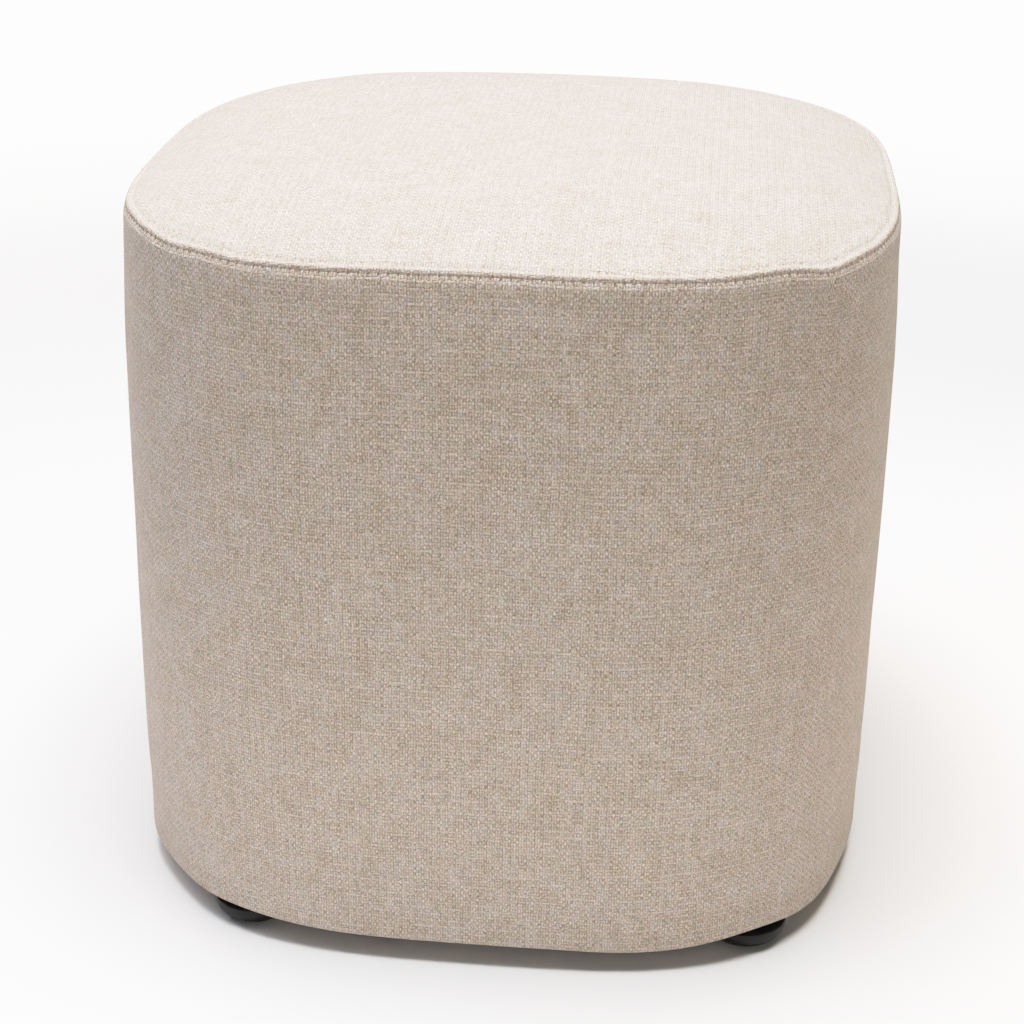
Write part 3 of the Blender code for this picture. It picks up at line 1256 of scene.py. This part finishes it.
@dataclass
class SettledCover:
    """The cover's cloth, blown up over its filling and settled between its seam and its hem.

    A coarse closed grid of the side and the crown goes through Blender's Cloth under the filling's
    pressure, pinned along the seam and the hem, with cloth that is slack here and tight there. The
    part of its movement that all four sides share is left out, because the measured outline
    already has it. The rest is carried to the fine pieces by a cubic B-spline.
    """

    CLOTH = {
        "quality": 6,
        "mass": 0.3,
        "tension_stiffness": 40.0,
        "compression_stiffness": 40.0,
        "shear_stiffness": 15.0,
        "bending_stiffness": 1.5,
        "air_damping": 2.0,
        "use_pressure": True,
        "uniform_pressure_force": 4.0,
    }

    sizes: CoverSizes
    band: SideBand
    panel: TopPanel
    columns: int = 192
    side_rows: int = 34
    crown_rows: int = 26
    side_margin: float = 0.005
    centre: float = 0.94
    frames: int = 20
    slack: float = 0.002
    tightness: float = 0.0005
    waves: int = 24
    wave_lengths: tuple[float, float] = (0.07, 0.23)
    wave_contrast: float = 0.35
    seed: int = 7
    levels: int = 20
    cap: float = 0.0006
    fade: float = 0.016
    side: Array | None = None
    crown: Array | None = None

    def _depths(self) -> Array:
        """Return the side rows' depths under the seam, from the hem up."""
        deepest = self.sizes.seam - self.sizes.hem - self.sizes.hem_rounding
        return np.linspace(deepest, self.side_margin, self.side_rows)

    def _grid(self) -> Array:
        """Lay out the coarse cover from the hem up to the crown.

        Returns:
            Its points by row and column.
        """
        share = np.arange(self.columns) / self.columns
        outline = self.sizes.outline
        rows = [outline.ring(share, *self.band.face(share, depth)) for depth in self._depths()]
        edge = outline.ring(share, self.sizes.seam_inset + self.sizes.lip_reach, 0.0)[:, :2]
        for inward in np.linspace(0.0, self.centre, self.crown_rows):
            rows.append(at_height(edge * (1.0 - inward), self.panel.crown(share, inward)))
        return np.array(rows)

    def _looseness(self, points: Array) -> Array:
        """Work out how slack the cloth is: a sum of seeded waves of 70 to 230 mm through space.

        Args:
            points: Points on the cover.

        Returns:
            A number for each, from 1, slack, to 0, tight.
        """
        chance = np.random.RandomState(self.seed)
        ways = chance.normal(size=(self.waves, 3))
        ways /= np.linalg.norm(ways, axis=1)[:, None]
        lengths = chance.uniform(*self.wave_lengths, self.waves)
        starts = chance.uniform(0.0, TURN, self.waves)
        total = np.sin(points @ (ways / lengths[:, None]).T * TURN + starts).sum(axis=1)
        return np.clip(0.5 + self.wave_contrast * total / np.sqrt(0.5 * self.waves), 0.0, 1.0)

    def _cloth(self, rows: Array) -> bpy.types.Object:
        """Make the coarse cover with its Cloth modifier, its pins and its slack.

        Args:
            rows: The cover's points by row and column.

        Returns:
            The cover, linked to the scene.
        """
        count, columns = rows.shape[:2]
        at = np.arange(columns)
        low = np.arange(count - 1)[:, None] * columns
        beside = (at + 1) % columns
        quads = np.stack([low + at, low + beside, low + columns + beside, low + columns + at], axis=-1)
        caps = [at[::-1].tolist(), (at + (count - 1) * columns).tolist()]
        points = rows.reshape(-1, 3)
        mesh = bpy.data.meshes.new("settling")
        mesh.from_pydata(points.tolist(), [], quads.reshape(-1, 4).tolist() + caps)
        cover = bpy.data.objects.new("settling", mesh)
        bpy.context.scene.collection.objects.link(cover)
        pins = cover.vertex_groups.new(name="pins")
        held = np.concatenate([at, at + (self.side_rows - 1) * columns, at + self.side_rows * columns])
        pins.add(held.tolist(), 1.0, "REPLACE")
        tight = cover.vertex_groups.new(name="tight")
        tightness = np.round((1.0 - self._looseness(points)) * self.levels).astype(int)
        for level in range(self.levels + 1):
            tight.add(np.flatnonzero(tightness == level).tolist(), level / self.levels, "REPLACE")
        modifier = cover.modifiers.new("cloth", "CLOTH")
        modifier.point_cache.frame_end = self.frames
        cloth = modifier.settings
        for name, setting in self.CLOTH.items():
            setattr(cloth, name, setting)
        cloth.vertex_group_mass = pins.name
        cloth.vertex_group_shrink = tight.name
        cloth.shrink_min = -self.slack
        cloth.shrink_max = self.tightness
        cloth.effector_weights.gravity = 0.0
        return cover

    def _uneven(self, moved: Array) -> Array:
        """Take the part that all four sides share from the movement, and cap the rest.

        Each point's d = (outward, along, up) becomes d * tanh(|d| / cap) * cap / |d|.

        Args:
            moved: How far each point moved in space, by row and column.

        Returns:
            Its (outward, along, up) by row and column.
        """
        share = np.arange(self.columns) / self.columns
        normals = self.sizes.outline.normals(share)
        outward = (moved[..., :2] * normals).sum(axis=-1)
        along = moved[..., 1] * normals[:, 0] - moved[..., 0] * normals[:, 1]
        parts = np.stack([outward, along, moved[..., 2]], axis=-1)
        sides = parts.reshape(len(parts), 4, -1, 3)
        parts = (sides - sides.mean(axis=1, keepdims=True)).reshape(parts.shape)
        length = np.linalg.norm(parts, axis=-1, keepdims=True) + 1.0e-9
        return parts * np.tanh(length / self.cap) * self.cap / length

    def settle(self) -> None:
        """Run the simulation and keep its movement."""
        rows = self._grid()
        cover = self._cloth(rows)
        scene = bpy.context.scene
        for frame in range(1, self.frames + 1):
            scene.frame_set(frame)
        settled = cover.evaluated_get(bpy.context.evaluated_depsgraph_get()).data
        flat = np.zeros(rows.size, np.float32)
        settled.vertices.foreach_get("co", flat)
        mesh = cover.data
        bpy.data.objects.remove(cover)
        bpy.data.meshes.remove(mesh)
        scene.frame_set(1)
        moved = flat.reshape(rows.shape).astype(float) - rows
        parts = self._uneven(moved)
        self.side, self.crown = parts[: self.side_rows], parts[self.side_rows :]
        most, kept = np.abs(moved).max() / MM, np.abs(parts).max() / MM
        LOG.info("settled cover: %.2f mm at most, %.2f mm kept", most, kept)

    @staticmethod
    def _weights(part: Array) -> Array:
        """Work out a uniform cubic B-spline's four weights.

        Args:
            part: Parts of a step, from 0 to 1.

        Returns:
            The four weights at each.
        """
        rest = 1.0 - part
        inner = 3.0 * part**3 - 6.0 * part**2 + 4.0
        outer = 3.0 * rest**3 - 6.0 * rest**2 + 4.0
        return np.stack([rest**3, inner, outer, part**3]) / 6.0

    def _read(self, table: Array, row: Array, share: Array) -> Array:
        """Read a table of movements between its rows and columns, by a cubic B-spline.

        Args:
            table: Each point's (outward, along, up) by row and column.
            row: Where to read it, in rows.
            share: Where to read it, in shares of the plan's edge.

        Returns:
            The movement in space at each place.
        """
        column = share * self.columns
        row = np.clip(row, 0.0, len(table) - 1.001)
        first_row, first_column = np.floor(row).astype(int), np.floor(column).astype(int)
        up, along = self._weights(row - first_row), self._weights(column - first_column)
        parts = np.zeros((len(share), 3))
        for i in range(4):
            at_row = np.clip(first_row + i - 1, 0, len(table) - 1)
            for j in range(4):
                at_column = (first_column + j - 1) % self.columns
                parts += (up[i] * along[j])[:, None] * table[at_row, at_column]
        normals = self.sizes.outline.normals(share)
        tangents = np.column_stack([-normals[:, 1], normals[:, 0]])
        plan = normals * parts[:, :1] + tangents * parts[:, 1:2]
        return np.column_stack([plan, parts[:, 2]])

    def _faded(self, distance: Array) -> Array:
        """Return a smooth step from 0 at a sewn edge to 1 at the fade's distance from it."""
        part = np.clip(distance / self.fade, 0.0, 1.0)
        return part * part * (3.0 - 2.0 * part)

    def band_shift(self, share: Array, depth: Array) -> Array:
        """Work out how far the side moved.

        Args:
            share: Shares of the plan's edge.
            depth: The depth under the seam at each.

        Returns:
            The movement in space at each.
        """
        if self.side is None:
            return np.zeros((len(share), 3))
        deepest, highest = self._depths()[[0, -1]]
        row = (deepest - depth) / (deepest - highest) * (self.side_rows - 1)
        near = self._faded(depth - highest) * self._faded(deepest - depth)
        return self._read(self.side, row, share) * near[:, None]

    def crown_shift(self, share: Array, inward: float) -> Array:
        """Work out how far a ring of the crown moved.

        Args:
            share: Shares of the plan's edge.
            inward: How far in the ring is, from 0 to 1.

        Returns:
            The movement in space at each share.
        """
        if self.crown is None:
            return np.zeros((len(share), 3))
        row = np.full(len(share), inward / self.centre * (self.crown_rows - 1))
        edge = self._faded(np.full(len(share), 0.5 * self.sizes.outline.width * inward))
        return self._read(self.crown, row, share) * edge[:, None]


@dataclass(frozen=True)
class SeamStitches:
    """The top seam's stitches: short dashes of thread across its crease, whose dark colour also stands in
    for the shade in the needle pits: painted shade.
    """

    sizes: CoverSizes
    radius: float = 0.52 * MM
    half_height: float = 0.62 * MM
    half_slant: float = 0.25 * MM
    sunk: float = 0.05 * MM
    lean: float = 0.22 * MM
    thread_length: float = 2.2 * MM
    round_end: float = 0.98
    sides: int = 6
    steps: int = 7

    def build(self, material: bpy.types.Material) -> bpy.types.Object:
        """Build every stitch as a short bar across the crease, all in one mesh.

        A stitch's line, for t from -1 to 1, is 0.62 mm * t high and 0.25 mm * t along the seam, and
        leans out by 0.22 mm * (t^2 - t): its foot follows the band's roll and its head the lip. A
        ring of six points is carried along it, of radius 0.52 mm * sqrt(1 - (0.98 t)^6).

        Args:
            material: The thread.

        Returns:
            The piece.
        """
        sizes = self.sizes
        share = np.arange(1, sizes.stitches) / sizes.stitches
        t = np.linspace(-1.0, 1.0, self.steps)
        turn = np.linspace(0.0, TURN, self.sides, endpoint=False)
        base = sizes.outline.ring(share, 0.0, sizes.seam + sizes.seam_rise(share))
        out = np.column_stack([sizes.outline.normals(share), np.zeros(len(share))])
        side = np.column_stack([-out[:, 1], out[:, 0], np.zeros(len(share))])
        up = np.array([0.0, 0.0, 1.0])
        outwards = -(sizes.seam_inset + self.sunk) + self.lean * (t**2 - t)
        line = (
            base[:, None]
            + out[:, None] * outwards[:, None]
            + side[:, None] * (self.half_slant * t)[:, None]
            + up * (self.half_height * t)[:, None]
        )
        taper = self.radius * np.sqrt(1.0 - (self.round_end * t) ** 6)
        tube = (
            line[:, :, None]
            + out[:, None, None] * (np.cos(turn) * taper[:, None])[..., None]
            + side[:, None, None] * (np.sin(turn) * taper[:, None])[..., None]
        )
        count, steps, sides = tube.shape[:3]
        a, b, c = np.meshgrid(np.arange(count), np.arange(steps - 1), np.arange(sides), indexing="ij")
        first = (a * steps + b) * sides
        here, beside = first + c, first + (c + 1) % sides
        quads = np.stack([here, beside, beside + sides, here + sides], axis=-1).reshape(-1, 4)
        caps = np.arange(count)[:, None] * steps * sides + np.arange(sides)[::-1]
        polygons = quads.tolist() + caps.tolist() + (caps[:, ::-1] + (steps - 1) * sides).tolist()
        mesh = bpy.data.meshes.new("top_seam_stitches")
        mesh.from_pydata(tube.reshape(-1, 3).tolist(), [], polygons)
        layer = mesh.uv_layers.new(name=SkinMesh.MAP)
        corners = np.zeros(len(mesh.loops), np.int32)
        mesh.loops.foreach_get("vertex_index", corners)
        along = (corners // sides) % steps / (steps - 1) * self.thread_length
        around = corners % sides / sides * TURN * self.radius
        layer.data.foreach_set("uv", np.column_stack([along, around]).astype(np.float32).ravel())
        mesh.shade_smooth()
        mesh.materials.append(material)
        piece = bpy.data.objects.new("top_seam_stitches", mesh)
        bpy.context.scene.collection.objects.link(piece)
        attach(piece, "root")
        report(piece)
        LOG.info("stitch pitch %.2f mm", sizes.stitch_pitch() / MM)
        return piece


# ---------------------------------------------------------------------------------------------
# The underside


@dataclass(frozen=True)
class Underside:
    """The closing cloth, stretched flat inside the hem."""

    sizes: CoverSizes
    node: str = "bottom_panel"
    columns: int = 240
    face_rows: int = 30
    edge_rows: int = 7
    outermost: float = 0.01
    innermost: float = 0.97
    back_rings: tuple[float, ...] = (0.3, 0.7, 0.97)
    thickness: float = 1.1 * MM
    sag: float = 0.25 * MM

    def build(self, material: bpy.types.Material) -> bpy.types.Object:
        """Build the sheet: a slightly slack face, a rounded edge and a flat back.

        The face rises by 0.25 mm * sin(pi * s / 2) * sin(3 * pi * s)^2, for s from 0 at the edge to
        1 in the middle.

        Args:
            material: The closing cloth.

        Returns:
            The piece.
        """
        low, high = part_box(self.node)
        inset = 0.5 * (self.sizes.outline.width - (high.x - low.x))
        share = np.arange(self.columns) / self.columns
        edge = self.sizes.outline.ring(share, inset, 0.0)[:, :2]
        middle = low.z + 0.5 * self.thickness
        skin = SkinMesh()
        rings = []
        for inward in np.linspace(self.innermost, self.outermost, self.face_rows):
            rise = self.sag * np.sin(0.5 * np.pi * inward) * np.sin(3.0 * np.pi * inward) ** 2
            rings.append((1.0 - inward, low.z + rise))
        for turn in np.linspace(-0.25 * TURN, 0.25 * TURN, self.edge_rows):
            reach = 0.5 * self.thickness * (np.cos(turn) - 1.0)
            scale = 1.0 + reach / (0.5 * (high.x - low.x))
            rings.append((scale, middle + 0.5 * self.thickness * np.sin(turn)))
        for inward in self.back_rings:
            rings.append((1.0 - inward, low.z + self.thickness))
        for scale, height in rings:
            skin.add(at_height(edge * scale, height), closed(edge * scale))
        piece = skin.object("closing_cloth_sheet", material)
        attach(piece, "root")
        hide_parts(self.node)
        report(piece)
        return piece


@dataclass(frozen=True)
class Glides:
    """The four domed glides, turned to the size of their solids."""

    nodes: tuple[str, ...] = (
        "glide_front_left",
        "glide_front_right",
        "glide_back_left",
        "glide_back_right",
    )
    segments: int = 96
    bowl_rows: int = 26
    shoulder_rows: int = 5
    foot_radius: float = 6.0 * MM
    foot_rings: tuple[float, ...] = (0.35, 0.8)
    fullness: float = 2.5
    edge: float = 1.2 * MM
    skirt: float = 0.4 * MM
    inner_ring: float = 0.5

    def profile(self, radius: float, height: float) -> Array:
        """Return the dome's profile from foot to rim as (radius, height).

        The dome is a quarter of |x|^2.5 + |y|^2.5 = 1 from the foot's edge to the rim, over a short
        upright skirt with a rounded shoulder.

        Args:
            radius: The glide's radius.
            height: Its height.

        Returns:
            The profile's points.
        """
        turn = np.linspace(0.25 * TURN, 0.0, self.bowl_rows)
        power = 2.0 / self.fullness
        dome = height - self.edge
        bowl = np.column_stack(
            [
                self.foot_radius + (radius - self.foot_radius) * np.cos(turn) ** power,
                dome * (1.0 - np.sin(turn) ** power),
            ]
        )
        foot = [[part * self.foot_radius, 0.0] for part in self.foot_rings]
        shoulder_turn = np.linspace(0.0, 0.25 * TURN, self.shoulder_rows)[1:]
        shoulder = np.column_stack(
            [
                radius - self.skirt * (1.0 - np.cos(shoulder_turn)),
                height - self.skirt * (1.0 - np.sin(shoulder_turn)),
            ]
        )
        rim = [[radius, height - self.skirt], *shoulder, [self.inner_ring * radius, height]]
        return np.concatenate([foot, bowl, rim])

    def build(self, material: bpy.types.Material) -> list[bpy.types.Object]:
        """Build the glides where their solids stand.

        Args:
            material: The plastic.

        Returns:
            The pieces.
        """
        pieces = []
        turn = np.linspace(0.0, TURN, self.segments, endpoint=False)
        circle = np.column_stack([np.cos(turn), np.sin(turn)])
        for node in self.nodes:
            low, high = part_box(node)
            centre = np.array([0.5 * (low.x + high.x), 0.5 * (low.y + high.y)])
            skin = SkinMesh()
            for radius, height in self.profile(0.5 * (high.x - low.x), high.z):
                plan = centre + radius * circle
                skin.add(at_height(plan, height), closed(plan))
            piece = skin.object(f"{node}_dome", material)
            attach(piece, "root")
            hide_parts(node)
            report(piece)
            pieces.append(piece)
        return pieces


# ---------------------------------------------------------------------------------------------
# The studio


@dataclass(frozen=True)
class SoftLight:
    """A square area light that faces a point: sizes in metres, power in watts, spread in degrees."""

    name: str
    place: tuple[float, float, float]
    size: float
    power: float
    colour: Colour
    target: tuple[float, float, float] = (0.0, 0.0, 0.2)
    spread: float = 180.0

    def build(self) -> None:
        """Add the light."""
        data = bpy.data.lights.new(self.name, "AREA")
        data.size = self.size
        data.spread = np.radians(self.spread)
        data.energy = self.power
        data.color = self.colour
        lamp = bpy.data.objects.new(self.name, data)
        lamp.location = self.place
        aim = Vector(self.target) - Vector(self.place)
        lamp.rotation_euler = aim.to_track_quat("-Z", "Y").to_euler()
        lamp.visible_camera = False
        bpy.context.scene.collection.objects.link(lamp)


@dataclass(frozen=True)
class Studio:
    """A white floor, soft lights, the picture's tone and the camera at the photograph's angle."""

    COMBINED_CURVE = 3

    floor_size: float = 5.0
    backdrop: float = 1.9
    place: tuple[float, float, float] = (0.10181, -1.10885, 0.66130)
    pitch: float = 0.4173
    turn: float = -0.0939
    roll: float = 0.0153
    lens: float = 75.56
    sensor: float = 36.0
    lights: tuple[SoftLight, ...] = (
        SoftLight("top_box", (0.0, -0.04, 2.2), 1.2, 92.0, (0.98, 0.965, 1.0)),
        SoftLight("top_left_box", (-1.4, -0.2, 2.1), 1.6, 20.0, (0.81, 0.86, 1.0)),
        SoftLight("left_back_box", (-1.8, 2.0, 1.0), 1.6, 24.0, (1.0, 0.72, 0.46)),
        SoftLight("right_back_low_box", (1.8, 1.8, 0.35), 0.6, 6.2, (0.9, 1.0, 0.55)),
        SoftLight(
            "upper_front_wash", (0.2, -1.6, 1.1), 0.3, 0.032, (1.0, 0.95, 0.84),
            target=(0.03, -0.2, 0.40), spread=18.0,
        ),
        SoftLight(
            "front_high_box", (0.7, -2.3, 1.9), 1.4, 4.5, (1.0, 0.96, 0.84),
            target=(0.0, -0.2, 0.3),
        ),
        SoftLight(
            "front_floor_wash", (0.0, -0.8, 1.6), 0.8, 1.8, (1.0, 0.955, 0.77),
            target=(0.0, -0.8, 0.0), spread=35.0,
        ),
        SoftLight(
            "right_floor_wash", (0.85, 0.0, 1.6), 0.8, 2.4, (1.0, 0.70, 0.40),
            target=(0.85, 0.0, 0.0), spread=35.0,
        ),
        SoftLight(
            "hem_wash", (0.0, -1.5, 0.55), 0.4, 0.12, (1.0, 0.98, 0.96),
            target=(0.0, -0.45, -0.1), spread=30.0,
        ),
    )
    exposure_range: float = 2.4
    shoulder: tuple[tuple[float, float], ...] = (
        (0.45, 0.45),
        (0.62, 0.603),
        (0.80, 0.720),
        (1.0, 0.790),
        (1.2, 0.853),
        (1.4, 0.912),
        (1.8, 0.975),
    )

    def camera(self) -> None:
        """Add the camera: turned and pitched as the photograph's, then rolled about its axis."""
        sin_turn, cos_turn = np.sin(self.turn), np.cos(self.turn)
        sin_pitch, cos_pitch = np.sin(self.pitch), np.cos(self.pitch)
        ahead = np.array([sin_turn * cos_pitch, cos_turn * cos_pitch, -sin_pitch])
        level = np.array([cos_turn, -sin_turn, 0.0])
        upright = np.cross(level, ahead)
        right = level * np.cos(self.roll) + upright * np.sin(self.roll)
        up = upright * np.cos(self.roll) - level * np.sin(self.roll)
        data = bpy.data.cameras.new("photo_camera")
        data.lens = self.lens
        data.sensor_width = self.sensor
        data.clip_end = 100.0
        camera = bpy.data.objects.new("photo_camera", data)
        bpy.context.scene.collection.objects.link(camera)
        turned = Matrix(np.column_stack([right, up, -ahead]).tolist()).to_4x4()
        camera.matrix_world = Matrix.Translation(self.place) @ turned
        bpy.context.scene.camera = camera

    def film(self) -> None:
        """Set the picture's tone: straight up to mid greys, then a soft shoulder to white."""
        view = bpy.context.scene.view_settings
        view.view_transform = "Standard"
        view.use_curve_mapping = True
        mapping = view.curve_mapping
        mapping.white_level = (self.exposure_range,) * 3
        for radiance, shown in self.shoulder:
            mapping.curves[self.COMBINED_CURVE].points.new(radiance / self.exposure_range, shown)
        mapping.update()

    def floor(self) -> None:
        """Add the floor, a plain square under the glides."""
        half = 0.5 * self.floor_size
        corners = [(-half, -half, 0.0), (half, -half, 0.0), (half, half, 0.0), (-half, half, 0.0)]
        mesh = bpy.data.meshes.new("studio_floor")
        mesh.from_pydata(corners, [], [(0, 1, 2, 3)])
        mesh.materials.append(PaleFloor().material("pale_floor"))
        floor = bpy.data.objects.new("studio_floor", mesh)
        bpy.context.scene.collection.objects.link(floor)

    def build(self) -> None:
        """Add the white backdrop, which lights nothing, the lights, the floor and the camera."""
        scene = bpy.context.scene
        world = bpy.data.worlds.new("studio")
        world.use_nodes = True
        graph = Graph(world.node_tree)
        seen = Value(graph, graph.node("ShaderNodeLightPath").outputs["Is Camera Ray"])
        back = graph.node("ShaderNodeBackground", inputs={0: opaque(WHITE), 1: seen * self.backdrop})
        graph.node("ShaderNodeOutputWorld", inputs={0: back.outputs[0]})
        scene.world = world
        self.film()
        for light in self.lights:
            light.build()
        self.floor()
        self.camera()


def main() -> None:
    """Load the frame, build the stool around it and light it."""
    logging.basicConfig(level=logging.INFO, format="%(name)s: %(message)s")
    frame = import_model()
    LOG.info("frame nodes: %s", ", ".join(sorted(frame["nodes"])))
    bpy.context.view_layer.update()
    Studio().build()

    low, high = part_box("side_band")
    bottom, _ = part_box("bottom_panel")
    sizes = CoverSizes(outline=Outline(width=high.x - low.x), hem=bottom.z)
    band = SideBand(sizes)
    panel = TopPanel(sizes)
    settled = SettledCover(sizes, band, panel)
    settled.settle()
    band.build(SIDE_CLOTH.material("melange_cloth"), settled)
    # The top panel wears the copy of the cloth evened out as if washed out by the light from above:
    # painted light.
    panel.build(LIGHT_FLATTENED_TOP_CLOTH.material("melange_cloth_top"), settled)
    SeamStitches(sizes).build(SewingThread().material("seam_thread"))
    Underside(sizes).build(ClosingCloth().material("closing_felt"))
    Glides().build(MouldedPlastic().material("glide_black"))


if __name__ == "__main__":
    main()
